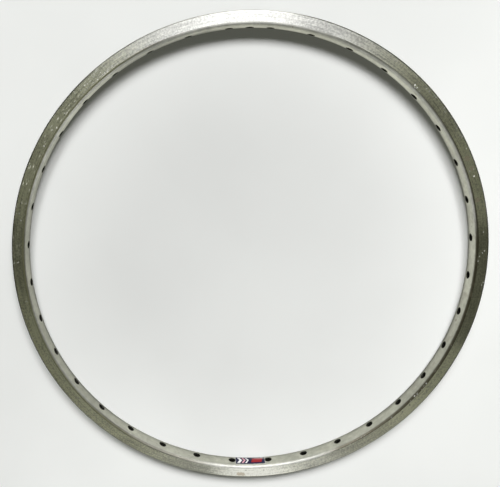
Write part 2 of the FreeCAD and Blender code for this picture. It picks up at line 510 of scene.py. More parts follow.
@dataclass
class Hoop:
    """The rolled, drilled and machined hoop, which stands for the node rim."""

    section: RimSection = RimSection()
    spoke_count: int = 36
    spoke_radius: float = 2.9 * MM
    spoke_edge: float = 0.35 * MM
    access_radius: float = 4.5 * MM
    access_edge: float = 0.12 * MM
    valve_radius: float = 3.3 * MM
    valve_edge: float = 0.15 * MM
    # Size of the painted shade ring round each spoke hole's mouth, along the rim and across it
    shade_ring_along: float = 0.5 * MM
    shade_ring_across: float = 0.95 * MM
    upper_shrink: float = 0.1 * MM
    lower_shrink: float = 1.2 * MM
    # Shape of a hole's broken edge, as shares of its width
    edge_least: float = 0.4
    edge_swell: float = 0.32
    edge_dip: float = 0.22
    edge_drop: float = 0.2
    edge_rounds: int = 4
    bed_share: float = 0.62
    ring_share: float = 0.6
    patch_angle: float = math.radians(1.6)
    patch_columns: int = 8
    column_angle: float = math.radians(1.1)
    valve_sector: int = 8
    strip_start: int = 3
    strip_gap: float = 1.0 * MM
    chamber_scale: float = 0.25
    bake_rows: int = 4
    bake_margin: Point = (0.002, 0.01)
    merge_distance: float = 4e-6
    sharp_angle: float = math.radians(38)

    def __post_init__(self) -> None:
        """Lay out the outer skin and the chamber's wall."""
        section = self.section
        face = section.channel_half + section.hook_undercut
        self.outer = Sheet(section.outside(), (section.seat_radius, -face), 0.0, 1.0)
        corner = (section.seat_radius - section.roof, section.wall - section.half_width)
        start = self.outer.girth[-1] + self.strip_gap
        self.inner = Sheet(section.inside(), corner, start, self.chamber_scale)

    @property
    def pitch(self) -> float:
        """Angle from one spoke hole to the next."""
        return TURN / self.spoke_count

    def _columns(self, drills: Sequence[Drill], last: float) -> list[float]:
        """Spread columns over a sector, closer together at the holes.

        Args:
            drills: The sector's holes by rising angle.
            last: Angle at which the sector ends.

        Returns:
            The columns' angles.
        """
        columns = [0.0]

        def spread(end: float, steps: int | None = None) -> None:
            """Add even steps up to an angle.

            Args:
                end: The angle.
                steps: Number of steps, or none for steps of about the column angle.
            """
            start = columns[-1]
            count = steps or max(1, round((end - start) / self.column_angle))
            columns.extend([start + (end - start) * i / count for i in range(1, count + 1)])

        for drill in drills:
            spread(drill.angle - self.patch_angle)
            spread(drill.angle + self.patch_angle, self.patch_columns)
        spread(last)
        return columns

    def _grid(self, mesh: SectorMesh, sheet: Sheet, columns: Sequence[float],
              drills: Sequence[Drill]) -> dict:
        """Lay a sheet's quads over a sector, apart from the holes' patches.

        Args:
            mesh: Collects the faces.
            sheet: The skin or the chamber's wall.
            columns: Angles of the columns.
            drills: The sector's holes.

        Returns:
            The corners by row and column.
        """
        count = len(sheet.rows)
        middles = [(a + b) / 2 for a, b in zip(columns, columns[1:])]
        held = set()
        for wall in Wall:
            rows = sheet.patch(self.section, wall)
            spans = {i for i in range(count) if i in rows and (i + 1) % count in rows}
            for drill in drills:
                inside = [j for j, a in enumerate(middles) if abs(a - drill.angle) < self.patch_angle]
                held |= {(i, j) for i in spans for j in inside}
        numbers: dict[tuple[int, int], int] = {}

        def corner(i: int, j: int) -> Corner:
            """Find a grid point, which is added when it is first used.

            Args:
                i: Row, which may be one past the last.
                j: Column.

            Returns:
                The point's number and its strip coordinates.
            """
            key = (i % count, j)
            if key not in numbers:
                r, z = sheet.rows[key[0]]
                numbers[key] = mesh.point((r * math.cos(columns[j]), r * math.sin(columns[j]), z))
            return numbers[key], (columns[j] / TURN, sheet.girth[i])

        for i in range(count):
            for j in range(len(columns) - 1):
                if (i, j) not in held:
                    quad = (corner(i, j), corner(i, j + 1), corner(i + 1, j + 1), corner(i + 1, j))
                    mesh.face(quad, sheet.zones[i])
        return {key: corner(*key) for key in numbers}

    def _drill_bed(self, patch: Patch, outer: dict, inner: dict) -> None:
        """Make a hole through the spoke bed, from the broken edge outside to the chamber.

        Args:
            patch: The spoke bed round the hole.
            outer: The skin's corners.
            inner: The chamber wall's corners.
        """
        section = self.section
        edge, radius = patch.drill.edge, patch.drill.bed_radius
        depth = section.crest_radius + edge

        def skin(y: float, z: float) -> float:
            """Distance of the outer skin along the hole's axis."""
            return math.sqrt(section.bed_at(z) ** 2 - y**2)

        def back(y: float, z: float) -> float:
            """Distance of the spoke bed's back along the hole's axis."""
            return math.sqrt(section.bed_at(z, section.wall) ** 2 - y**2)

        border = patch.border(self.outer, outer)
        mouth = []
        for y, z in circle(len(border), 1.0):
            size = radius + edge
            for _ in range(self.edge_rounds):
                size = radius + max(self.edge_least * edge, depth - skin(y * size, z * size))
            mouth.append((y * size, z * size))
        # Painted shade ring round the hole's mouth, wider across the rim than along it
        longer = 1 + self.shade_ring_along / radius
        taller = 1 + self.shade_ring_across / radius
        lip = [(y * longer, z * taller) for y, z in mouth]
        broken = circle(len(border), radius + self.edge_swell * edge)
        bore = circle(len(border), radius)
        last = patch.mesh.join(border, [
            (patch.ring(between(patch.spots(border), lip, self.bed_share), skin), Zone.BED),
            (patch.ring(lip, skin), Zone.BED),
            # Painted shade: the skin between the ring and the mouth takes the bore's near-black finish
            (patch.ring(mouth, skin), Zone.CHAMBER),
            (patch.ring(broken, lambda y, z: depth - self.edge_dip * edge), Zone.CHAMBER),
            (patch.ring(bore, lambda y, z: depth + self.edge_drop * edge, self.upper_shrink), Zone.CHAMBER),
            (patch.ring(bore, back, self.lower_shrink), Zone.CHAMBER),
        ])
        patch.open_chamber(last, bore, back, inner)

    def _drill_roof(self, patch: Patch, outer: dict, inner: dict) -> None:
        """Make a hole through the wall between the chamber and the tyre channel.

        Args:
            patch: The roof round the hole.
            outer: The skin's corners.
            inner: The chamber wall's corners.
        """
        top = self.section.floor_radius
        under = top - self.section.roof
        radius, edge = patch.drill.roof_radius, self.access_edge

        def floor(y: float, z: float) -> float:
            """Distance of the drop centre's floor along the hole's axis."""
            return math.sqrt(top**2 - y**2)

        def ceiling(y: float, z: float) -> float:
            """Distance of the chamber's ceiling along the hole's axis."""
            return math.sqrt(under**2 - y**2)

        border = patch.border(self.outer, outer)
        bore = circle(len(border), radius)
        mouth = circle(len(border), radius + edge)
        last = patch.mesh.join(border, [
            (patch.ring(between(patch.spots(border), mouth, self.ring_share), floor), Zone.CHANNEL),
            (patch.ring(mouth, floor), Zone.CHANNEL),
            (patch.ring(bore, lambda y, z: floor(y, z) - edge, self.upper_shrink), Zone.CHANNEL),
            (patch.ring(bore, ceiling, self.lower_shrink), Zone.CHAMBER),
        ])
        patch.open_chamber(last, bore, ceiling, inner)

    def _sector(self, name: str, drills: Sequence[Drill], last: float) -> Object:
        """Build a sector that begins at angle zero.

        Args:
            name: Name of the object.
            drills: The sector's holes by rising angle.
            last: Angle at which the sector ends.

        Returns:
            The sector.
        """
        mesh = SectorMesh()
        columns = self._columns(drills, last)
        outer = self._grid(mesh, self.outer, columns, drills)
        inner = self._grid(mesh, self.inner, columns, drills)
        for drill in drills:
            self._drill_bed(Patch(self, mesh, columns, drill, Wall.BED), outer, inner)
            self._drill_roof(Patch(self, mesh, columns, drill, Wall.ROOF), outer, inner)
        return mesh.as_object(name)

    def _array_tree(self) -> GeometryNodeTree:
        """Build the tree that repeats the sector round the axle and closes the hoop with the valve's sector.

        Returns:
            The tree, with its sizes, the valve's sector and the four finishes as inputs.
        """
        tree = bpy.data.node_groups.new("hoop_array", "GeometryNodeTree")
        tree.interface.new_socket("Sector", in_out="INPUT", socket_type="NodeSocketGeometry")
        tree.interface.new_socket("Hoop", in_out="OUTPUT", socket_type="NodeSocketGeometry")
        finishes = [(zone.name.title(), "Material") for zone in Zone]
        for name, kind in (("Valve sector", "Object"), ("Plain sectors", "Int"), ("First sector", "Int"),
                           ("Valve index", "Int"), ("Pitch", "Float"), ("Strip start", "Int"), *finishes):
            tree.interface.new_socket(name, in_out="INPUT", socket_type=f"NodeSocket{kind}")
        g = Graph(tree)
        given = g.add("NodeGroupInput").outputs

        def spin(index: Socket) -> Socket:
            """Return the rotation of a sector by its number."""
            turn = g.get("ShaderNodeCombineXYZ", Z=g.times(index, given["Pitch"]))
            return g.get("FunctionNodeEulerToRotation", Euler=turn)

        def read(name: str, kind: str) -> Socket:
            """Return an attribute."""
            return g.get("GeometryNodeInputNamedAttribute", {"data_type": kind}, Name=name)

        def store(geometry: Socket, name: str, value: Socket, kind: str, domain: str) -> Socket:
            """Store an attribute and return the geometry."""
            return g.get("GeometryNodeStoreNamedAttribute", {"data_type": kind, "domain": domain},
                         Geometry=geometry, Name=name, Value=value)

        spot = g.get("GeometryNodePoints", Count=given["Plain sectors"])
        index = g.plus(g.get("GeometryNodeInputIndex"), given["First sector"])
        placed = g.get("GeometryNodeInstanceOnPoints", Points=spot, Instance=given["Sector"],
                       Rotation=spin(index))
        plain = store(placed, "sector", index, "FLOAT", "INSTANCE")
        valve = g.add("GeometryNodeObjectInfo", Object=given["Valve sector"]).outputs["Geometry"]
        turned = g.get("GeometryNodeTransform", Geometry=valve, Rotation=spin(given["Valve index"]))
        closing = store(turned, "sector", given["Valve index"], "FLOAT", "POINT")
        joined = g.add("GeometryNodeJoinGeometry")
        g.link(plain, joined.inputs[0])
        g.link(closing, joined.inputs[0])
        whole = g.get("GeometryNodeRealizeInstances", Geometry=joined.outputs[0])
        sectors = g.plus(given["Plain sectors"], 2.0)
        passed = g.math("SUBTRACT", read("sector", "FLOAT"), given["Strip start"])
        ahead = g.math("FLOORED_MODULO", passed, sectors)
        shift = g.get("ShaderNodeCombineXYZ", X=g.math("DIVIDE", ahead, sectors))
        moved = g.vector("ADD", read("Strip", "FLOAT_VECTOR"), shift)
        strip = store(whole, "Strip", moved, "FLOAT2", "CORNER")
        merged = g.get("GeometryNodeMergeByDistance", Geometry=strip, Distance=self.merge_distance)
        last = g.get("GeometryNodeRemoveAttribute", Geometry=merged, Name="sector")
        zones = read("zone", "INT")
        for zone in Zone:
            same = g.get("FunctionNodeCompare", {"data_type": "INT", "operation": "EQUAL"},
                         {2: zones, 3: zone.value})
            last = g.get("GeometryNodeSetMaterial", Geometry=last, Selection=same,
                         Material=given[zone.name.title()])
        g.link(last, g.add("NodeGroupOutput").inputs[0])
        return tree

    def build(self, finishes: dict[Zone, Material]) -> Object:
        """Build the whole hoop as one plain mesh.

        Args:
            finishes: Material of each finish.

        Returns:
            The hoop, which rides on the root body in place of the node rim.
        """
        half = self.pitch / 2
        spoke = Drill(half, self.spoke_radius, self.access_radius, self.spoke_edge)
        pair = [
            spoke,
            Drill(self.pitch, self.valve_radius, self.valve_radius, self.valve_edge),
            Drill(3 * half, self.spoke_radius, self.access_radius, self.spoke_edge),
        ]
        sector = self._sector("spoke_sector", [spoke], self.pitch)
        valve = self._sector("valve_sector", pair, 2 * self.pitch)
        tree = self._array_tree()
        modifier = sector.modifiers.new("hoop", "NODES")
        modifier.node_group = tree
        values = {
            "Valve sector": valve,
            "Plain sectors": self.spoke_count - 2,
            "First sector": self.valve_sector + 2,
            "Valve index": self.valve_sector,
            "Pitch": self.pitch,
            "Strip start": self.strip_start,
            **{zone.name.title(): material for zone, material in finishes.items()},
        }
        for item in tree.interface.items_tree:
            if item.in_out == "INPUT" and item.name in values:
                modifier[item.identifier] = values[item.name]
        depsgraph = bpy.context.evaluated_depsgraph_get()
        mesh = bpy.data.meshes.new_from_object(sector.evaluated_get(depsgraph))
        sector.modifiers.remove(modifier)
        for spare in (sector, valve):
            bpy.data.objects.remove(spare)
        mesh.name = "rim_skin"
        made = linked("rim_skin", mesh)
        close_skin(mesh, self.sharp_angle)
        self._bake_map(mesh)
        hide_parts("rim")
        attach(made, "root")
        made.visible_diffuse = False
        return made

    def _bake_map(self, mesh: Mesh) -> None:
        """Stack the strip's quarters in a second map that fills the unit square without overlap.

        Args:
            mesh: The hoop's mesh.
        """
        strip = np.zeros(len(mesh.loops) * 2, np.float32)
        mesh.uv_layers["Strip"].uv.foreach_get("vector", strip)
        strip = strip.reshape(-1, 2)
        starts = np.zeros(len(mesh.polygons), np.int32)
        totals = np.zeros(len(mesh.polygons), np.int32)
        mesh.polygons.foreach_get("loop_start", starts)
        mesh.polygons.foreach_get("loop_total", totals)
        sums = np.add.reduceat(strip[:, 0], starts)
        quarter = np.repeat(np.floor(self.bake_rows * sums / totals), totals)
        along = self.bake_rows * strip[:, 0] - quarter
        across = strip[:, 1] / self.inner.girth[-1]
        side, end = self.bake_margin
        u = side + (1 - 2 * side) * along
        v = (quarter + end + (1 - 2 * end) * across) / self.bake_rows
        placed = np.stack([u, v], axis=1)
        layer = mesh.uv_layers.new(name="OFBake")
        layer.uv.foreach_set("vector", placed.astype(np.float32).ravel())


def close_skin(mesh: Mesh, sharp: float) -> None:
    """Turn a closed mesh's faces outwards, shade it smooth and mark its sharp edges.

    Args:
        mesh: The mesh, with its doubles already merged.
        sharp: Angle from which an edge is sharp, in radians.
    """
    work = bmesh.new()
    work.from_mesh(mesh)
    bmesh.ops.recalc_face_normals(work, faces=work.faces)
    open_edges = sum(1 for edge in work.edges if not edge.is_manifold)
    volume = work.calc_volume(signed=True)
    if volume < 0:
        bmesh.ops.reverse_faces(work, faces=work.faces)
    work.to_mesh(mesh)
    work.free()
    mesh.shade_smooth()
    mesh.set_sharp_from_angle(angle=sharp)
    LOG.info("%s: %d faces, %d open edges, %.1f cm3", mesh.name, len(mesh.polygons), open_edges,
             abs(volume) * 1e6)


# Label


@dataclass
class Label:
    """The printed film across the spoke bed, between two spoke holes, which stands for the node label."""

    section: RimSection = RimSection()
    middle_angle: float = 1.5 * math.pi
    length: float = 31.0 * MM
    width: float = 13.6 * MM
    film: float = 0.15 * MM
    columns: int = 60
    rows: int = 24
    sharp_angle: float = math.radians(30)

    def _place(self, along: float, height: float, lift: float) -> Place:
        """Return a point of the film.

        Args:
            along: Share of the length, from -0.5 to 0.5.
            height: Height above the middle plane.
            lift: Distance from the spoke bed.

        Returns:
            The point.
        """
        angle = self.middle_angle + along * self.length / self.section.crest_radius
        radius = self.section.bed_at(height, -lift)
        return (radius * math.cos(angle), radius * math.sin(angle), height)

    def build(self, finish: Material) -> Object:
        """Build the film with its print's map.

        Args:
            finish: Material of the print.

        Returns:
            The label, which rides on the root body in place of the node label.
        """
        work = bmesh.new()
        layer = work.loops.layers.uv.new("Print")
        prints = {}
        sides = []
        for lift in (self.film, 0.0):
            side = {}
            for i, j in np.ndindex(self.columns + 1, self.rows + 1):
                u, v = i / self.columns, j / self.rows
                side[i, j] = work.verts.new(self._place(u - 0.5, self.width * (v - 0.5), lift))
                prints[side[i, j]] = (u, v)
            sides.append(side)
        front, back = sides
        for i, j in np.ndindex(self.columns, self.rows):
            quad = ((i, j), (i + 1, j), (i + 1, j + 1), (i, j + 1))
            work.faces.new([front[key] for key in quad])
            work.faces.new([back[key] for key in reversed(quad)])
        border = [(i, 0) for i in range(self.columns)] + [(self.columns, j) for j in range(self.rows)]
        border += [(self.columns - i, self.rows - j) for i, j in border]
        for a, b in zip(border, border[1:] + border[:1]):
            work.faces.new((front[b], front[a], back[a], back[b]))
        for face in work.faces:
            for loop in face.loops:
                loop[layer].uv = prints[loop.vert]
        made = made_of("label_film", work, finish)
        close_skin(made.data, self.sharp_angle)
        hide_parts("label")
        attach(made, "root")
        return made


# Finishes


class Graph:
    """Adds nodes and links to a node tree."""

    def __init__(self, tree: NodeTree) -> None:
        """Work on one tree."""
        self.tree = tree

    def link(self, source: Socket, target: Socket) -> None:
        """Link two sockets."""
        self.tree.links.new(source, target)

    def fill(self, node: Node, inputs: dict) -> None:
        """Link sockets to a node's inputs, or set values on them.

        Args:
            node: The node.
            inputs: Sockets or values by number, or by name with underscores for spaces.
        """
        for key, value in inputs.items():
            name = key if isinstance(key, int) else key.replace("_", " ")
            socket = next(s for i, s in enumerate(node.inputs) if name == i or (s.name == name and s.enabled))
            if isinstance(value, Socket):
                self.link(value, socket)
            else:
                socket.default_value = value

    def add(self, kind: str, settings: dict | None = None, numbered: dict | None = None,
            **named: object) -> Node:
        """Add a node.

        Args:
            kind: Blender's name of the node type.
            settings: Properties of the node.
            numbered: Inputs by number, as sockets to link or values to set.
            **named: Inputs by name, with underscores for spaces.

        Returns:
            The node.
        """
        node = self.tree.nodes.new(kind)
        for name, value in (settings or {}).items():
            setattr(node, name, value)
        self.fill(node, {**(numbered or {}), **named})
        return node

    def get(self, kind: str, settings: dict | None = None, numbered: dict | None = None,
            **named: object) -> Socket:
        """Add a node and return its first output."""
        return self.add(kind, settings, numbered, **named).outputs[0]

    def math(self, operation: str, *values: object, clamp: bool = False) -> Socket:
        """Add a Math node and return its result."""
        settings = {"operation": operation, "use_clamp": clamp}
        return self.get("ShaderNodeMath", settings, dict(enumerate(values)))

    def plus(self, *values: object) -> Socket:
        """Add values up."""
        return reduce(lambda a, b: self.math("ADD", a, b), values)

    def times(self, *values: object) -> Socket:
        """Multiply values."""
        return reduce(lambda a, b: self.math("MULTIPLY", a, b), values)

    def most(self, *values: object) -> Socket:
        """Return the greatest of several values."""
        return reduce(lambda a, b: self.math("MAXIMUM", a, b), values)

    def rest(self, value: object) -> Socket:
        """Return one minus a value."""
        return self.math("SUBTRACT", 1.0, value)

    def vector(self, operation: str, *values: object) -> Socket:
        """Add a Vector Math node and return its result."""
        node = self.add("ShaderNodeVectorMath", {"operation": operation}, dict(enumerate(values)))
        return node.outputs[1 if operation in ("LENGTH", "DISTANCE", "DOT_PRODUCT") else 0]

    def ramp(self, value: object, low: float, high: float, first: float = 0.0, last: float = 1.0) -> Socket:
        """Map a value smoothly from one range to another.

        Args:
            value: Socket to map.
            low: Value that gives first.
            high: Value that gives last.
            first: Result at low.
            last: Result at high.

        Returns:
            The mapped value.
        """
        return self.get("ShaderNodeMapRange", {"interpolation_type": "SMOOTHSTEP"},
                        {0: value, 1: low, 2: high, 3: first, 4: last})

    def mix(self, share: object, first: object, second: object, blend: str = "MIX") -> Socket:
        """Mix two colours, with share as the weight of the second."""
        settings = {"data_type": "RGBA", "blend_type": blend}
        return self.add("ShaderNodeMix", settings, {0: share, 6: first, 7: second}).outputs[2]

    def tint(self, colour: object, tone: Socket) -> Socket:
        """Multiply a colour by a value."""
        grey = self.get("ShaderNodeCombineColor", Red=tone, Green=tone, Blue=tone)
        return self.mix(1.0, colour, grey, "MULTIPLY")

    def place(self) -> Socket:
        """Return the Object coordinates."""
        return self.add("ShaderNodeTexCoord").outputs["Object"]

    def noise(self, scale: float, detail: float, rough: float = 0.5, place: Socket | None = None) -> Socket:
        """Add a noise texture, over the Object coordinates if no place is given, and return its value."""
        return self.get("ShaderNodeTexNoise", Vector=place or self.place(), Scale=scale, Detail=detail,
                        Roughness=rough)

    def axes(self, place: Socket) -> bpy.types.bpy_prop_collection:
        """Return a vector's three components."""
        return self.add("ShaderNodeSeparateXYZ", Vector=place).outputs


class Effect(Graph):
    """A shader node group in the making, with one value as its result."""

    def __init__(self, name: str, **inputs: object) -> None:
        """Start a group.

        Args:
            name: Name of the group.
            **inputs: Default of each input, a number or a triple.
        """
        super().__init__(bpy.data.node_groups.new(name, "ShaderNodeTree"))
        for label, value in inputs.items():
            kind = "NodeSocketFloat" if isinstance(value, (int, float)) else "NodeSocketVector"
            self.tree.interface.new_socket(label, in_out="INPUT", socket_type=kind).default_value = value
        self.tree.interface.new_socket("Mask", in_out="OUTPUT", socket_type="NodeSocketFloat")
        self.given = self.add("NodeGroupInput").outputs

    def ends_with(self, value: Socket) -> NodeTree:
        """Set the group's result and return the group."""
        self.link(value, self.add("NodeGroupOutput").inputs[0])
        return self.tree

    def round_axle(self) -> Socket:
        """Return coordinates that run round the axle and across the section without a seam.

        Returns:
            The coordinates, scaled by the inputs Along and Across.
        """
        axes = self.axes(self.place())
        flat = self.get("ShaderNodeCombineXYZ", X=axes[0], Y=axes[1])
        girth = self.plus(self.vector("LENGTH", flat), self.math("ABSOLUTE", axes[2]))
        side = self.times(self.math("SIGN", axes[2]), 3.0)
        rise = self.plus(self.times(girth, self.given["Across"]), side)
        heading = {0: self.vector("NORMALIZE", flat), 3: self.given["Along"]}
        turned = self.get("ShaderNodeVectorMath", {"operation": "SCALE"}, heading)
        return self.vector("ADD", turned, self.get("ShaderNodeCombineXYZ", Z=rise))


class Effects:
    """Masks and values that several finishes share, each a node group built once."""

    grain_noise: tuple = (1.0, 4.0, 0.62)
    nick_noise: Point = (3.0, 3.0)
    nick_ragged: float = 0.35
    nick_margin: float = 0.18
    nick_edge: Point = (0.0, 0.12)
    blot_noise: Point = (900.0, 2.0)
    blot_edge: Point = (1.0, 0.6)
    top_cosine: float = 0.99999

    def __init__(self) -> None:
        """Build the groups."""
        self.grain = self._grain()
        self.specks = self._specks()
        self.mark = self._mark()
        self.stretch = self._stretch()
        self.band = self._band()

    def _grain(self) -> NodeTree:
        """Fine lines round the axle, as turning and rolling leave them."""
        e = Effect("turned_grain", Along=20.0, Across=2500.0)
        return e.ends_with(e.noise(*self.grain_noise, e.round_axle()))

    def _specks(self) -> NodeTree:
        """Scattered nicks, longer round the axle than across it.

        Returns:
            The group.
        """
        e = Effect("scattered_nicks", Along=90.0, Across=420.0, Share=0.1, Size=0.3)
        place = e.round_axle()
        cells = e.add("ShaderNodeTexVoronoi", {"feature": "F1"}, Vector=place, Scale=1.0).outputs
        chosen = e.get("ShaderNodeSeparateColor", Color=cells["Color"])
        keep = e.math("LESS_THAN", chosen, e.given["Share"])
        noise = e.noise(*self.nick_noise, place=place)
        ragged = e.math("MULTIPLY_ADD", noise, self.nick_ragged, cells["Distance"])
        near = e.math("SUBTRACT", e.plus(e.given["Size"], self.nick_margin), ragged)
        return e.ends_with(e.times(keep, e.ramp(near, *self.nick_edge)))

    def _mark(self) -> NodeTree:
        """One blot with a ragged edge at a given place.

        Returns:
            The group.
        """
        e = Effect("single_blot", Place=(0.0, 0.0, 0.0), Size=0.001, Ragged=0.5)
        away = e.vector("DISTANCE", e.place(), e.given["Place"])
        wobble = e.math("SUBTRACT", e.noise(*self.blot_noise), 0.5)
        rough = e.times(wobble, e.given["Ragged"], e.given["Size"])
        share = e.math("DIVIDE", e.plus(away, rough), e.given["Size"])
        return e.ends_with(e.ramp(share, *self.blot_edge))

    def _stretch(self) -> NodeTree:
        """A stretch of the hoop, by its angle from +X.

        Returns:
            The group.
        """
        e = Effect("hoop_stretch", Angle=0.0, Reach=0.5, Fade=0.2)
        flat = e.vector("NORMALIZE", e.vector("MULTIPLY", e.place(), (1.0, 1.0, 0.0)))
        aim = e.get("ShaderNodeCombineXYZ", X=e.math("COSINE", e.given["Angle"]),
                    Y=e.math("SINE", e.given["Angle"]))
        cosine = e.math("MINIMUM", e.vector("DOT_PRODUCT", flat, aim), self.top_cosine)
        turn = e.math("ARCCOSINE", cosine)
        past = e.math("DIVIDE", e.math("SUBTRACT", turn, e.given["Reach"]), e.given["Fade"])
        return e.ends_with(e.ramp(past, 1.0, 0.0))

    @staticmethod
    def _band() -> NodeTree:
        """A band of the section, by its distance from the axle and from the middle plane.

        Returns:
            The group.
        """
        e = Effect("section_band", Inner=0.2, Outer=0.3, Low=-0.01, Fade=0.001)
        axes = e.axes(e.place())
        radius = e.vector("LENGTH", e.get("ShaderNodeCombineXYZ", X=axes[0], Y=axes[1]))
        least = e.math("SUBTRACT", e.math("ABSOLUTE", axes[2]), e.given["Low"])
        for pair in ((radius, e.given["Inner"]), (e.given["Outer"], radius)):
            least = e.math("MINIMUM", least, e.math("SUBTRACT", *pair))
        return e.ends_with(e.ramp(e.math("DIVIDE", least, e.given["Fade"]), 0.0, 1.0))


@dataclass(frozen=True)
class Blot:
    """A stain, pit or smudge at one place, in degrees and millimetres."""

    angle: float
    radius: float
    size: float
    height: float = 9.7


@dataclass(frozen=True)
class Tone:
    """A stretch of the hoop that differs from the rest by some gain, in degrees."""

    angle: float
    reach: float
    fade: float
    gain: float = 1.0


@dataclass(frozen=True)
class Band:
    """A band of the section, in millimetres."""

    inner: float
    outer: float
    fade: float
    low: float = -10.0


@dataclass(frozen=True)
class Specks:
    """Scattered marks: how many round the axle and across, the share that shows, their size and weight."""

    along: float
    across: float
    share: float
    size: float
    weight: float = 1.0


class Finish(Graph):
    """A material in the making, with its Principled BSDF and the shared effects."""

    def __init__(self, name: str, effects: Effects) -> None:
        """Start a material.

        Args:
            name: Name of the material.
            effects: Shared groups.
        """
        self.made = bpy.data.materials.new(name)
        self.made.use_nodes = True
        super().__init__(self.made.node_tree)
        self.shader = self.tree.nodes["Principled BSDF"]
        self.effects = effects

    def give(self, **inputs: object) -> None:
        """Link or set inputs of the Principled BSDF, named with underscores for spaces."""
        self.fill(self.shader, inputs)

    def use(self, tree: NodeTree, **values: object) -> Socket:
        """Place a shared group and return its result."""
        return self.get("ShaderNodeGroup", {"node_tree": tree}, **values)

    def lines(self, along: float, across: float) -> Socket:
        """Return fine lines round the axle."""
        return self.use(self.effects.grain, Along=along, Across=across)

    def specks(self, specks: Specks) -> Socket:
        """Return the mask of scattered marks."""
        mask = self.use(self.effects.specks, Along=specks.along, Across=specks.across, Share=specks.share,
                        Size=specks.size)
        return self.times(mask, specks.weight)

    def stretch(self, tone: Tone) -> Socket:
        """Return the mask of a stretch of the hoop."""
        return self.use(self.effects.stretch, Angle=math.radians(tone.angle), Reach=math.radians(tone.reach),
                        Fade=math.radians(tone.fade))

    def band(self, band: Band) -> Socket:
        """Return the mask of a band of the section."""
        return self.use(self.effects.band, Inner=band.inner * MM, Outer=band.outer * MM, Low=band.low * MM,
                        Fade=band.fade * MM)

    def tones(self, tones: Sequence[Tone], start: float = 1.0) -> Socket:
        """Add the gains of several stretches to a start value."""
        return reduce(lambda total, tone: self.math("MULTIPLY_ADD", self.stretch(tone), tone.gain, total),
                      tones, start)

    def blots(self, blots: Sequence[Blot], ragged: float) -> Socket:
        """Join several blots in one mask.

        Args:
            blots: The blots.
            ragged: How ragged their edges are.

        Returns:
            The mask.
        """
        masks = []
        for blot in blots:
            turn = math.radians(blot.angle)
            flat = blot.radius * MM
            place = (flat * math.cos(turn), flat * math.sin(turn), blot.height * MM)
            masks.append(self.use(self.effects.mark, Place=place, Size=blot.size * MM, Ragged=ragged))
        return self.most(*masks)

    def worn_rough(self, lines: Socket, middle: float, spread: float) -> Socket:
        """Return a roughness that follows the lines about a middle value."""
        return self.ramp(lines, 0.25, 0.75, middle - spread, middle + spread)

    def bump(self, height: Socket, strength: float, distance: float) -> Socket:
        """Return a bumped normal."""
        return self.get("ShaderNodeBump", Strength=strength, Distance=distance, Height=height)

    def brush(self, anisotropy: float) -> None:
        """Draw highlights out across the lines that run round the axle."""
        tangent = self.get("ShaderNodeTangent", {"direction_type": "UV_MAP", "uv_map": "Strip"})
        self.give(Anisotropic=anisotropy, Anisotropic_Rotation=QUARTER_TURN, Tangent=tangent)


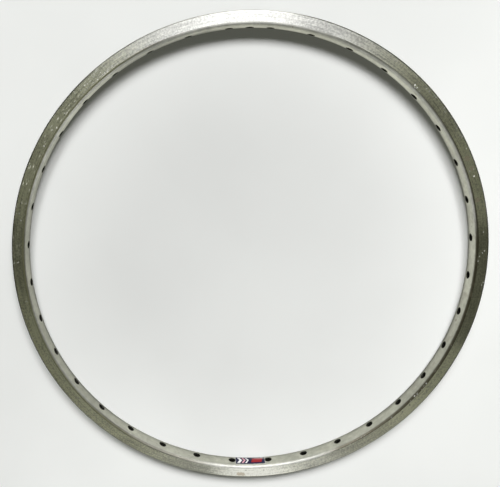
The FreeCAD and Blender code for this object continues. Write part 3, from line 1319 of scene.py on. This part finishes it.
@dataclass(frozen=True)
class MachinedTrack:
    """Brake track: turned lines round the axle, worn, nicked and stained, with painted highlights and shade
    by angle, a painted neutral tint where the highlights fall and a painted highlight at the bottom.
    """

    colour: tuple = (0.72, 0.725, 0.56, 1.0)
    # Painted highlight colour: a neutral tint laid where the highlights fall, at the top and the bottom
    highlight_colour: tuple = (0.73, 0.73, 0.705, 1.0)
    # Pale colour of the scars and of the painted highlight at the bottom
    scar_and_highlight: tuple = (0.80, 0.80, 0.76, 1.0)
    # Dark colour of the pits
    soot_and_shade: tuple = (0.02, 0.02, 0.014, 1.0)
    rust: tuple = (0.42, 0.34, 0.23, 1.0)
    brightest: float = 1.36
    roughness: float = 0.51
    rough_spread: float = 0.05
    scar_rough: float = 0.2
    stain_share: float = 0.62
    stain_matt: float = 0.12
    ragged: float = 0.9
    pit_ragged: float = 0.4
    line_height: float = 0.35
    bump: float = 0.12
    bump_depth: float = 0.08 * MM
    anisotropy: float = 0.75
    # Scales of the lines and noises, and the ramps that read them
    turning: Point = (14.0, 2600.0)
    turning_tone: tuple = (0.35, 0.65, -0.1, 0.1)
    scoring: Point = (5.0, 900.0)
    scoring_tone: tuple = (0.38, 0.62, -0.11, 0.11)
    mottling: Point = (520.0, 3.0)
    mottling_tone: tuple = (0.35, 0.65, -0.15, 0.15)
    clouding: Point = (38.0, 4.0)
    clouding_tone: tuple = (0.35, 0.7, 0.9, 1.08)
    # Patchy share of the painted highlight at the bottom
    bottom_highlight_share: tuple = (0.3, 0.6, 0.35, 0.65)
    # Marks, and the stretches and bands where they lie
    dashes: Specks = Specks(34.0, 760.0, 0.30, 0.34, 0.45)
    dots: Specks = Specks(150.0, 560.0, 0.03, 0.3)
    ticks: Specks = Specks(330.0, 260.0, 0.2, 0.34)
    flecks: Specks = Specks(110.0, 620.0, 0.5, 0.3, 0.85)
    scuffed: Tone = Tone(136.0, 25.78, 22.92)
    knocked: Tone = Tone(46.0, 12.61, 11.46)
    flecked: Tone = Tone(125.0, 8.02, 13.75)
    # Painted highlight: a pale matt patch on the track at the bottom, where the lamp's highlight falls
    bottom_highlight: Tone = Tone(270.5, 2.86, 9.74)
    edge: Band = Band(227.0, 233.0, 1.5)
    # Painted highlights and shade: gains that lighten and darken the track's colour by angle, where the
    # lamps' reflections fall
    tones: tuple = (
        Tone(208.0, 10.0, 20.0, 0.36), Tone(322.0, 6.0, 14.0, 0.32), Tone(156.0, 6.0, 18.0, 0.36),
        Tone(20.0, 5.0, 11.0, 0.36), Tone(271.0, 3.0, 12.0, 0.36), Tone(352.0, 10.0, 12.0, -0.34),
        Tone(257.0, 5.0, 11.0, -0.28), Tone(180.0, 8.0, 12.0, -0.21), Tone(120.0, 2.0, 7.0, 0.2),
        Tone(60.0, 3.0, 7.0, 0.22),
    )
    # Painted highlight colour: the stretches at the top and the bottom that take the neutral tint
    neutral_highlights: tuple = (Tone(90.0, 18.0, 30.0, 1.0), Tone(275.0, 8.0, 35.0, 0.6))
    nicks: tuple = (
        Blot(47.3, 223.4, 1.0), Blot(46.5, 223.2, 0.7), Blot(20.6, 226.7, 0.8), Blot(124.3, 224.3, 0.9),
        Blot(125.9, 222.9, 0.8), Blot(128.9, 223.0, 0.7), Blot(144.0, 223.0, 0.7), Blot(145.1, 225.4, 0.6),
        Blot(149.4, 224.6, 0.6),
    )
    pits: tuple = (
        Blot(316.8, 223.9, 0.75), Blot(314.2, 224.3, 0.6), Blot(268.7, 223.8, 0.6), Blot(273.5, 224.4, 0.6),
    )
    stains: tuple = (
        Blot(266.8, 228.3, 2.6), Blot(267.35, 228.35, 2.4), Blot(267.9, 228.4, 2.6), Blot(25.3, 226.0, 3.4),
        Blot(22.6, 226.6, 2.6), Blot(14.7, 224.6, 2.8),
    )

    def material(self, effects: Effects) -> Material:
        """Build the material.

        Args:
            effects: Shared groups.

        Returns:
            The material.
        """
        f = Finish("machined_track", effects)
        lines = f.lines(*self.turning)
        mottle = f.noise(*self.mottling)
        tone = f.plus(
            f.ramp(lines, *self.turning_tone),
            f.ramp(f.lines(*self.scoring), *self.scoring_tone),
            f.ramp(mottle, *self.mottling_tone),
            f.ramp(f.noise(*self.clouding), *self.clouding_tone),
        )
        # Painted highlights and shade: the gains by angle scale the track's colour
        tone = f.math("MINIMUM", f.times(tone, f.tones(self.tones)), self.brightest)
        # Painted highlight colour: the colour turns neutral where the highlights fall
        base = f.tint(f.mix(f.tones(self.neutral_highlights, 0.0), self.colour, self.highlight_colour), tone)
        # Pale scars, with the painted highlight at the bottom among them
        scars_and_highlight = f.most(
            f.times(f.specks(self.dashes), f.stretch(self.scuffed)),
            f.specks(self.dots),
            f.times(f.specks(self.ticks), f.stretch(self.knocked), f.band(self.edge)),
            f.blots(self.nicks, self.ragged),
            f.times(f.specks(self.flecks), f.stretch(self.flecked)),
            f.times(f.stretch(self.bottom_highlight), f.ramp(mottle, *self.bottom_highlight_share)),
        )
        pits = f.blots(self.pits, self.pit_ragged)
        stains = f.blots(self.stains, self.ragged)
        stained = f.times(stains, self.stain_share)
        # Damage and the painted highlight make the metal matt and sink in the bump
        damage_and_highlight = f.most(scars_and_highlight, pits)
        for share, colour in ((scars_and_highlight, self.scar_and_highlight), (stained, self.rust), (pits, self.soot_and_shade)):
            base = f.mix(share, base, colour)
        rough = f.worn_rough(lines, self.roughness, self.rough_spread)
        rough = f.plus(rough, f.times(scars_and_highlight, self.scar_rough))
        metal = f.rest(f.most(damage_and_highlight, f.times(stains, self.stain_matt)))
        height = f.math("SUBTRACT", f.times(lines, self.line_height), damage_and_highlight)
        normal = f.bump(height, self.bump, self.bump_depth)
        f.give(Base_Color=base, Roughness=rough, Metallic=metal, Normal=normal)
        f.brush(self.anisotropy)
        return f.made


@dataclass(frozen=True)
class SatinBed:
    """Spoke bed, shoulders and lips: rolled satin metal with faint lines, grime and knocks, with painted
    highlights and shade by angle, painted shade along the shoulder and on the lip, and a painted contact
    shadow under the lip at the bottom.
    """

    colour: tuple = (0.615, 0.615, 0.575, 1.0)
    grime: tuple = (0.30, 0.25, 0.19, 1.0)
    # Painted shade: dark colour laid along the shoulder, its upper part and the crease at the track's edge
    soot_and_shade: tuple = (0.17, 0.15, 0.09, 1.0)
    # Painted shade: near-black colour on the outer lip, and under it at the bottom as a painted contact
    # shadow
    lip_shade: tuple = (0.025, 0.025, 0.018, 1.0)
    bright: tuple = (0.80, 0.80, 0.77, 1.0)
    tarnish: tuple = (0.50, 0.50, 0.31, 1.0)
    roughness: float = 0.38
    anisotropy: float = 0.45
    slope_haze: float = 0.3
    rough_spread: float = 0.05
    dirt_rough: float = 0.3
    bottom_rough: float = 0.12
    smear_share: float = 0.28
    mark_share: float = 0.7
    # Share of the painted shade on the lip
    lip_shade_share: float = 0.85
    damage_matt: float = 0.7
    nick_ragged: float = 0.9
    mark_ragged: float = 0.6
    line_height: float = 0.3
    bump: float = 0.1
    bump_depth: float = 0.08 * MM
    # Scales of the lines and noises, and the ramps that read them
    rolling: Point = (6.0, 1500.0)
    rolling_tone: tuple = (0.3, 0.7, -0.09, 0.09)
    clouding: Point = (55.0, 5.0)
    clouding_tone: tuple = (0.35, 0.7, 0.9, 1.06)
    mottling: Point = (210.0, 3.0)
    mottling_tone: tuple = (0.35, 0.65, -0.07, 0.07)
    smearing: Point = (120.0, 4.0)
    smear_edge: Point = (0.52, 0.72)
    # Streaky share of the painted shade on the shoulder
    shoulder_shade_share: tuple = (0.3, 0.7, 0.2, 0.6)
    # Marks, and the stretches and bands where they lie
    dots: Specks = Specks(230.0, 650.0, 0.04, 0.16)
    chips: Specks = Specks(150.0, 500.0, 0.2, 0.34)
    smeared: Tone = Tone(352.0, 28.65, 14.32)
    rubbed: Tone = Tone(314.0, 17.19, 8.59)
    # The bottom, where the highlight falls: no painted shade on the shoulder, a rougher bed and no haze on
    # the slope
    bottom_stretch: Tone = Tone(270.0, 24.06, 17.19)
    # A wide stretch round the top and left where the shoulder takes no painted shade
    left: Tone = Tone(130.0, 91.67, 17.19)
    faded: Tone = Tone(177.0, 48.70, 17.19, 0.8)
    # Stretch at the top where the lip takes little painted shade
    unshaded_lip_top: Tone = Tone(104.0, 18.33, 11.46, -0.8)
    # Stretch at the bottom where the lip's own painted shade is left off
    low: Tone = Tone(265.0, 48.70, 14.32)
    # Stretch at the bottom where the lip's underside takes a painted contact shadow
    resting: Tone = Tone(272.0, 11.46, 8.02)
    upper: Band = Band(215.0, 223.0, 1.5, 5.0)
    slope: Band = Band(215.0, 223.0, 1.2, 6.6)
    # Upper part of the shoulder, which takes painted shade at some angles
    groove: Band = Band(215.0, 223.0, 0.7, 8.3)
    shoulder: Band = Band(215.0, 222.8, 0.3, 9.2)
    # Crease at the track's edge, which takes painted shade at some angles
    crease: Band = Band(221.2, 222.4, 0.5, 9.0)
    # Outer lip, which takes painted shade
    lip: Band = Band(230.7, 233.0, 0.4)
    # Underside of the lip, which takes a painted contact shadow at the bottom
    under: Band = Band(231.4, 233.0, 0.3)
    # Painted highlights and shade: gains that lighten and darken the bed's colour by angle
    tones: tuple = (
        Tone(110.0, 8.0, 12.0, -0.42), Tone(186.0, 32.0, 18.0, -0.28), Tone(330.0, 12.0, 9.0, -0.14),
        Tone(50.0, 2.0, 6.0, 0.28),
    )
    # Painted highlights: the upper bed is lighter at these angles
    lifts: tuple = (Tone(112.0, 12.0, 12.0, 0.32), Tone(150.0, 6.0, 18.0, 0.25))
    hazes: tuple = (
        Tone(90.0, 13.0, 12.0, 0.8), Tone(180.0, 40.0, 20.0, 0.08), Tone(271.0, 12.0, 12.0, 0.6),
        Tone(38.0, 18.0, 12.0, 0.06),
    )
    slopes: tuple = (Tone(38.0, 22.0, 14.0, 0.35), Tone(135.0, 22.0, 14.0, 0.35))
    # Painted shade in the crease at these angles
    creases: tuple = (Tone(35.0, 22.0, 14.0, 0.7), Tone(137.0, 22.0, 14.0, 0.7))
    # Painted shade on the shoulder's upper part at these angles
    grooves: tuple = (
        Tone(330.0, 34.0, 8.0, 0.75), Tone(240.0, 12.0, 10.0, 0.5), Tone(180.0, 6.0, 9.0, 0.45),
    )
    nicks: tuple = (
        Blot(319.4, 220.9, 0.9, 9.5), Blot(320.3, 221.2, 0.8, 9.6), Blot(324.0, 221.2, 0.7, 9.6),
        Blot(311.0, 221.0, 0.6, 9.55), Blot(46.9, 222.0, 0.8),
    )
    marks: tuple = (
        Blot(88.2, 219.9, 0.6, 9.0), Blot(80.0, 220.1, 0.7, 9.1), Blot(77.5, 218.0, 0.6, 3.5),
        Blot(342.5, 218.0, 1.6, 1.5), Blot(8.0, 218.1, 0.7, 3.4), Blot(5.5, 218.2, 0.5, 4.2),
    )

    def material(self, effects: Effects) -> Material:
        """Build the material.

        Args:
            effects: Shared groups.

        Returns:
            The material.
        """
        f = Finish("satin_bed", effects)
        lines = f.lines(*self.rolling)
        shoulder = f.band(self.shoulder)
        bottom_stretch = f.stretch(self.bottom_stretch)
        grooved = f.tones(self.grooves, 0.0)
        tone = f.plus(
            f.ramp(lines, *self.rolling_tone),
            f.ramp(f.noise(*self.clouding), *self.clouding_tone),
            f.ramp(f.noise(*self.mottling), *self.mottling_tone),
        )
        # Painted highlights and shade by angle on the bed's colour
        gain = f.plus(f.times(f.band(self.upper), f.tones(self.lifts, 0.0)), f.tones(self.tones))
        base = f.tint(self.colour, f.times(tone, gain))
        smear = f.times(f.stretch(self.smeared), f.ramp(f.noise(*self.smearing), *self.smear_edge))
        spots = f.most(f.specks(self.dots), f.blots(self.marks, self.mark_ragged))
        dirt = f.most(f.times(smear, self.smear_share), f.times(spots, self.mark_share))
        chips = f.times(f.specks(self.chips), f.stretch(self.rubbed), shoulder)
        nicks = f.most(chips, f.blots(self.nicks, self.nick_ragged))
        # Painted shade on the shoulder, left off at the bottom and round the top and left
        shaded_shoulder = f.rest(f.most(bottom_stretch, f.stretch(self.left)))
        # Painted shade on the lip, less at the top and none at the bottom
        shaded_lip = f.times(f.band(self.lip), f.tones((self.unshaded_lip_top,), self.lip_shade_share), f.rest(f.stretch(self.low)))
        layers = (
            (dirt, self.grime),
            # Painted shade on the shoulder, its upper part and the crease
            (f.times(shoulder, f.ramp(lines, *self.shoulder_shade_share), shaded_shoulder), self.soot_and_shade),
            (f.times(f.band(self.groove), grooved), self.soot_and_shade),
            (f.times(f.band(self.crease), f.tones(self.creases, 0.0)), self.soot_and_shade),
            (f.times(shoulder, f.tones((self.faded,), 0.0)), self.tarnish),
            # Painted shade on the lip, and a painted contact shadow under it at the bottom
            (f.most(shaded_lip, f.times(f.band(self.under), f.stretch(self.resting))), self.lip_shade),
            (nicks, self.bright),
        )
        for share, colour in layers:
            base = f.mix(share, base, colour)
        rough = f.worn_rough(lines, self.roughness, self.rough_spread)
        rough = f.plus(rough, f.times(dirt, self.dirt_rough), f.times(bottom_stretch, self.bottom_rough))
        slope = f.math("SUBTRACT", f.band(self.slope), shoulder, clamp=True)
        slope = f.times(slope, f.rest(f.most(bottom_stretch, grooved)), f.tones(self.slopes, self.slope_haze))
        haze = f.plus(f.times(shoulder, f.tones(self.hazes, 0.0)), slope)
        metal = f.rest(f.most(f.times(f.most(dirt, nicks), self.damage_matt), haze))
        height = f.math("SUBTRACT", f.times(lines, self.line_height), nicks)
        normal = f.bump(height, self.bump, self.bump_depth)
        f.give(Base_Color=base, Roughness=rough, Metallic=metal, Normal=normal)
        f.brush(self.anisotropy)
        return f.made


@dataclass(frozen=True)
class MillChannel:
    """Tyre channel: dull metal as it left the press, with rubber and dust where the tyre sat."""

    colour: tuple = (0.60, 0.61, 0.56, 1.0)
    shade: tuple = (0.44, 0.45, 0.41, 1.0)
    dust: tuple = (0.20, 0.19, 0.165, 1.0)
    roughness: float = 0.48
    rough_spread: float = 0.06
    dirt_rough: float = 0.3
    dirt_matt: float = 0.6
    bump: float = 0.15
    bump_depth: float = 0.1 * MM
    # Scales of the lines and noises, and the ramps that read them
    rolling: Point = (4.0, 1100.0)
    shade_share: tuple = (0.35, 0.65, 0.0, 0.25)
    dusting: tuple = (70.0, 6.0, 0.6)
    dust_share: tuple = (0.48, 0.72, 0.0, 0.5)
    specks: Specks = Specks(200.0, 600.0, 0.08, 0.2, 0.8)

    def material(self, effects: Effects) -> Material:
        """Build the material.

        Args:
            effects: Shared groups.

        Returns:
            The material.
        """
        f = Finish("mill_channel", effects)
        lines = f.lines(*self.rolling)
        dust = f.ramp(f.noise(*self.dusting), *self.dust_share)
        dirt = f.most(dust, f.specks(self.specks))
        base = f.mix(f.ramp(lines, *self.shade_share), self.colour, self.shade)
        rough = f.worn_rough(lines, self.roughness, self.rough_spread)
        rough = f.plus(rough, f.times(dirt, self.dirt_rough))
        metal = f.rest(f.times(dirt, self.dirt_matt))
        normal = f.bump(lines, self.bump, self.bump_depth)
        f.give(Base_Color=f.mix(dirt, base, self.dust), Roughness=rough, Metallic=metal, Normal=normal)
        return f.made


@dataclass(frozen=True)
class ShadedBore:
    """Holes and chamber: near-black painted shade inside the holes and the chamber, with a few lighter metal
    patches.
    """

    # Painted shade: near-black colour inside the holes and the chamber
    colour: tuple = (0.010, 0.010, 0.008, 1.0)
    metal: tuple = (0.06, 0.06, 0.05, 1.0)
    # Scales of the lines and noises, and the ramps that read them
    clouding: Point = (260.0, 4.0)
    metal_share: tuple = (0.55, 0.75, 0.0, 0.6)
    roughness: tuple = (0.3, 0.7, 0.75, 0.5)
    shine: float = 0.5
    specular: float = 0.08
    specks: Specks = Specks(200.0, 900.0, 0.1, 0.2, 0.5)

    def material(self, effects: Effects) -> Material:
        """Build the material.

        Args:
            effects: Shared groups.

        Returns:
            The material.
        """
        f = Finish("shaded_bore", effects)
        cloud = f.noise(*self.clouding)
        share = f.most(f.ramp(cloud, *self.metal_share), f.specks(self.specks))
        f.give(Base_Color=f.mix(share, self.colour, self.metal), Roughness=f.ramp(cloud, *self.roughness),
               Metallic=f.times(share, self.shine), Specular_IOR_Level=self.specular)
        return f.made


@dataclass(frozen=True)
class PrintedFilm:
    """Label: a dark blue field with white and pink arrowheads and a red panel, scuffed at its edges."""

    field: tuple = (0.007, 0.006, 0.040, 1.0)
    red: tuple = (0.28, 0.009, 0.018, 1.0)
    pink: tuple = (0.66, 0.36, 0.42, 1.0)
    white: tuple = (0.80, 0.80, 0.80, 1.0)
    paper: tuple = (0.72, 0.72, 0.69, 1.0)
    # Print, as shares of the label
    head_slope: float = 0.22
    head_height: Point = (0.12, 0.88)
    print_edge: float = 0.008
    panel_slope: float = 0.10
    panel_length: Point = (0.60, 0.96)
    panel_height: Point = (0.20, 0.80)
    # Wear: scales of the noises, and the ramps that read them
    fraying: Point = (900.0, 4.0)
    fray_depth: float = 0.06
    fray_edge: Point = (0.055, 0.03)
    corner_length: Point = (0.35, 0.95)
    corner_height: Point = (0.5, 0.0)
    rubbing: Point = (450.0, 3.0)
    rub_share: tuple = (0.3, 0.6, 0.2, 0.8)
    dotting: tuple = (2600.0, 5.0, 0.7)
    dot_share: tuple = (0.66, 0.74, 0.0, 0.25)
    roughness: tuple = (0.0, 1.0, 0.28, 0.6)
    proportion: float = 2.28
    specular: float = 0.15
    bump: float = 0.15
    bump_depth: float = 0.05 * MM

    @property
    def arrowheads(self) -> tuple:
        """Start, end and colour of each arrowhead, as shares of the label."""
        return ((0.13, 0.23, self.white), (0.28, 0.35, self.pink), (0.40, 0.46, self.white))

    def _bar(self, f: Finish, place: Socket, start: float, end: float) -> Socket:
        """Return the mask of a bar between two shares of the label."""
        edge = self.print_edge
        return f.times(f.ramp(place, start, start + edge), f.ramp(place, end, end - edge))

    def material(self, effects: Effects) -> Material:
        """Build the material.

        Args:
            effects: Shared groups.

        Returns:
            The material.
        """
        f = Finish("printed_film", effects)
        u, v, _ = f.axes(f.get("ShaderNodeUVMap", {"uv_map": "Print"}))
        off_middle = f.math("ABSOLUTE", f.math("SUBTRACT", v, 0.5))
        arrow = f.math("MULTIPLY_ADD", off_middle, self.head_slope, u)
        slant = f.math("MULTIPLY_ADD", v, self.panel_slope, u)
        colour = self.field
        tall = self._bar(f, v, *self.head_height)
        for start, end, tint in self.arrowheads:
            colour = f.mix(f.times(self._bar(f, arrow, start, end), tall), colour, tint)
        panel = f.times(self._bar(f, slant, *self.panel_length), self._bar(f, v, *self.panel_height))
        colour = f.mix(panel, colour, self.red)
        ends = f.times(f.math("MINIMUM", u, f.rest(u)), self.proportion)
        inset = f.math("MINIMUM", ends, f.math("SUBTRACT", 0.5, off_middle))
        torn = f.math("MULTIPLY_ADD", f.noise(*self.fraying), self.fray_depth, inset)
        frayed = f.ramp(torn, *self.fray_edge)
        corner = f.times(f.ramp(u, *self.corner_length), f.ramp(v, *self.corner_height),
                         f.ramp(f.noise(*self.rubbing), *self.rub_share))
        worn = f.most(frayed, corner)
        bare = f.most(worn, f.ramp(f.noise(*self.dotting), *self.dot_share))
        f.give(Base_Color=f.mix(bare, colour, self.paper), Roughness=f.ramp(bare, *self.roughness),
               Normal=f.bump(f.rest(worn), self.bump, self.bump_depth), Specular_IOR_Level=self.specular)
        return f.made


# Studio and camera


class Reach(Enum):
    """What a lamp is for: reflections in the metal, or light on matt surfaces."""

    METAL = "metal"
    MATT = "matt"


@dataclass(frozen=True)
class Lamp:
    """A soft lamp aimed at the rim's centre, placed by its heading from +X and its tilt from the zenith."""

    name: str
    reach: Reach
    heading: float
    tilt: float
    distance: float
    width: float
    height: float
    power: float

    def build(self) -> None:
        """Make the lamp."""
        data = bpy.data.lights.new(self.name, "AREA")
        data.shape = "RECTANGLE"
        data.size = self.width
        data.size_y = self.height
        data.energy = self.power
        data.cycles.use_multiple_importance_sampling = self.reach is Reach.METAL
        heading, tilt = math.radians(self.heading), math.radians(self.tilt)
        flat = math.sin(tilt)
        place = Vector((flat * math.cos(heading), flat * math.sin(heading), math.cos(tilt)))
        made = linked(self.name, data)
        made.location = place * self.distance
        made.rotation_euler = place.to_track_quat("Z", "Y").to_euler()
        made.visible_diffuse = self.reach is Reach.MATT
        made.visible_glossy = self.reach is Reach.METAL


@dataclass(frozen=True)
class Studio:
    """A pale floor under the rim, with painted light that brightens it away from the middle and towards +X
    and -Y, soft lamps and a dim room.
    """

    floor_colour: tuple = (0.80, 0.81, 0.80, 1.0)
    floor_size: float = 6.0
    floor_gap: float = 0.02 * MM
    floor_sides: int = 96
    floor_roughness: float = 0.8
    floor_specular: float = 0.2
    floor_fade: Point = (0.5, 1.6)
    floor_grain: Point = (6.0, 3.0)
    grain_tone: tuple = (0.3, 0.7, 0.98, 1.02)
    # Painted light: the floor is darker near the middle and brighter away from it, and brighter towards +X
    # and -Y
    away_tone: tuple = (0.1, 0.26, 0.93, 1.1)
    aside_tone: tuple = (-0.2, 0.2, 0.93, 1.07)
    # Painted shade: the floor's glow, which the metal reflects, dims near the rim
    rim_shade: tuple = (7.5 * MM, 10.5 * MM, 0.2, 1.0)
    horizon_rise: Point = (0.18, 0.44)
    rim_middle: float = 224.5 * MM
    zenith: tuple = (0.030, 0.032, 0.012, 1.0)
    horizon: tuple = (0.75, 0.76, 0.66, 1.0)
    ambient: tuple = (0.105, 0.107, 0.09, 1.0)
    backdrop: tuple = (0.88, 0.89, 0.88, 1.0)
    lamps: tuple = (
        Lamp("key_lamp", Reach.METAL, 85.7, 35.1, 6.0, 1.75, 5.0, 254.0),
        Lamp("right_lamp", Reach.MATT, 70.0, 39.0, 6.0, 1.8, 1.8, 208.0),
        Lamp("left_lamp", Reach.MATT, 102.0, 39.0, 6.0, 1.8, 1.8, 208.0),
    )

    def build(self, ground: float, effects: Effects) -> None:
        """Make the floor, the lamps and the world.

        Args:
            ground: Height of the surface that the rim lies on.
            effects: Shared groups.
        """
        work = bmesh.new()
        bmesh.ops.create_circle(work, cap_ends=True, segments=self.floor_sides, radius=self.floor_size)
        bmesh.ops.translate(work, verts=work.verts, vec=(0.0, 0.0, ground - self.floor_gap))
        floor = made_of("floor", work, self._floor_material(effects))
        floor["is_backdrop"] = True
        for lamp in self.lamps:
            lamp.build()
        self._room()

    def _floor_material(self, effects: Effects) -> Material:
        """Build the floor's material, which the metal and the far view see as pale, with a painted shade in
        that glow near the rim.

        Args:
            effects: Shared groups.

        Returns:
            The material.
        """
        f = Finish("pale_floor", effects)
        away = f.vector("LENGTH", f.place())
        aside = f.vector("DOT_PRODUCT", f.place(), (1.0, -1.0, 0.0))
        # Painted light: the floor's colour brightens away from the middle and towards +X and -Y
        tone = f.times(f.ramp(f.noise(*self.floor_grain), *self.grain_tone),
                       f.ramp(away, *self.away_tone), f.ramp(aside, *self.aside_tone))
        f.give(Base_Color=f.tint(self.floor_colour, tone), Roughness=self.floor_roughness,
               Specular_IOR_Level=self.floor_specular)
        rays = f.add("ShaderNodeLightPath").outputs
        far = f.times(rays["Is Camera Ray"], f.ramp(away, *self.floor_fade))
        pale = f.mix(rays["Is Glossy Ray"], self.backdrop, self.horizon)
        # Painted shade: the glow dims near the rim
        off_rim = f.math("ABSOLUTE", f.math("SUBTRACT", away, self.rim_middle))
        strength = f.ramp(off_rim, *self.rim_shade)
        glow = f.get("ShaderNodeEmission", Color=pale, Strength=strength)
        shown = f.most(rays["Is Glossy Ray"], far)
        seen = f.get("ShaderNodeMixShader", {}, {0: shown, 1: f.shader.outputs[0], 2: glow})
        f.link(seen, f.tree.nodes["Material Output"].inputs["Surface"])
        return f.made

    def _room(self) -> None:
        """Light the world: a dim room, a pale backdrop for the camera and a pale horizon in the metal."""
        world = bpy.data.worlds.new("room")
        world.use_nodes = True
        g = Graph(world.node_tree)
        rise = g.axes(g.add("ShaderNodeTexCoord").outputs["Generated"])[2]
        colour = g.mix(g.ramp(rise, *self.horizon_rise), self.horizon, self.zenith)
        rays = g.add("ShaderNodeLightPath").outputs
        colour = g.mix(rays["Is Glossy Ray"], self.ambient, colour)
        colour = g.mix(rays["Is Camera Ray"], colour, self.backdrop)
        g.link(colour, world.node_tree.nodes["Background"].inputs["Color"])
        bpy.context.scene.world = world


@dataclass(frozen=True)
class PhotoCamera:
    """Camera of the photograph, which is a crop, so that its centre lies beside the picture's."""

    place: tuple = (-0.04548, 0.14239, 0.64429)
    right: tuple = (0.99986, -0.01552, 0.00676)
    up: tuple = (0.01663, 0.97493, -0.22187)
    focal_px: float = 667.5
    centre_px: tuple = (206.11, 264.71)
    picture_px: tuple = (500, 487)
    sensor: float = 36.0
    clip_start: float = 0.01

    def build(self) -> Object:
        """Make the scene's camera.

        Returns:
            The camera.
        """
        data = bpy.data.cameras.new("photo_camera")
        width, height = self.picture_px
        data.sensor_fit = "HORIZONTAL"
        data.sensor_width = self.sensor
        data.lens = self.sensor * self.focal_px / width
        data.shift_x = (width / 2 - self.centre_px[0]) / width
        data.shift_y = (self.centre_px[1] - height / 2) / width
        data.clip_start = self.clip_start
        right = Vector(self.right).normalized()
        back = right.cross(Vector(self.up)).normalized()
        turn = Matrix((right, back.cross(right), back)).transposed()
        made = linked("photo_camera", data)
        made.matrix_world = Matrix.Translation(self.place) @ turn.to_4x4()
        bpy.context.scene.camera = made
        return made


def main() -> None:
    """Build the rim's looks, the studio and the camera in order."""
    logging.basicConfig(level=logging.INFO, format="%(message)s")
    solid_box = [list(corner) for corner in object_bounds()]
    bpy.context.scene.view_settings.view_transform = "Standard"
    effects = Effects()
    finishes = {
        Zone.TRACK: MachinedTrack().material(effects),
        Zone.BED: SatinBed().material(effects),
        Zone.CHANNEL: MillChannel().material(effects),
        Zone.CHAMBER: ShadedBore().material(effects),
    }
    hoop = Hoop().build(finishes)
    LOG.info("%s built in place of the rim's solid", hoop.name)
    label = Label().build(PrintedFilm().material(effects))
    LOG.info("%s built in place of the label's solid", label.name)
    Studio().build(solid_box[0][2], effects)
    LOG.info("floor, lamps and room built")
    camera = PhotoCamera().build()
    LOG.info("%s placed", camera.name)


if __name__ == "__main__":
    main()
